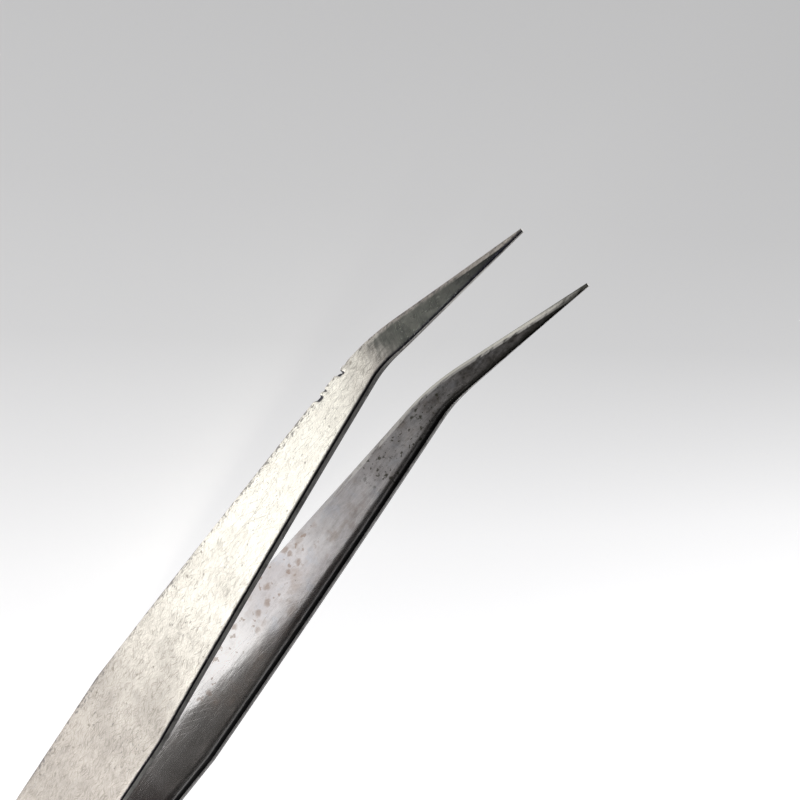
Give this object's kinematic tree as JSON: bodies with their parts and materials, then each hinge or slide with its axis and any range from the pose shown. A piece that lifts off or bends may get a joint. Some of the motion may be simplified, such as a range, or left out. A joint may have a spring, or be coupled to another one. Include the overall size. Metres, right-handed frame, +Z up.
{
  "type": "bent-nose tweezers",
  "caption": "Bent-nose fine-point tweezers: mirrored sprung steel arms, spot welded at the tail, that taper to an angled needle point each.",
  "frame": {"origin": "middle of the bounding box, on the plane that the arms' lower long edges stand on", "axes": "+X from the tail to the points, +Y towards the left arm (the squeeze direction), +Z up, towards the hollow side of the bend"},
  "size_m": [0.12, 0.0126, 0.0103],
  "materials": {
    "arm_steel": "satin, finely scratched",
    "weld_steel": "matt, as welded"
  },
  "bodies": {
    "tail": {"left_tail": "arm_steel", "right_tail": "arm_steel", "weld_spot_rear": "weld_steel", "weld_spot_front": "weld_steel"},
    "left_arm": {"left_blade": "arm_steel"},
    "right_arm": {"right_blade": "arm_steel"}
  },
  "joints": [
    {"name": "left_arm_flex", "type": "hinge", "parent": "tail", "child": "left_arm", "pos_m": [-0.0301, 0.00097, 0.0049], "axis": [0, 0, -1], "range_deg": [0, 3.8], "stiffness_Nm_per_rad": 4.1},
    {"name": "right_arm_flex", "type": "hinge", "parent": "tail", "child": "right_arm", "pos_m": [-0.0301, -0.00097, 0.0049], "axis": [0, 0, 1], "range_deg": [0, 3.8], "stiffness_Nm_per_rad": 4.1}
  ]
}
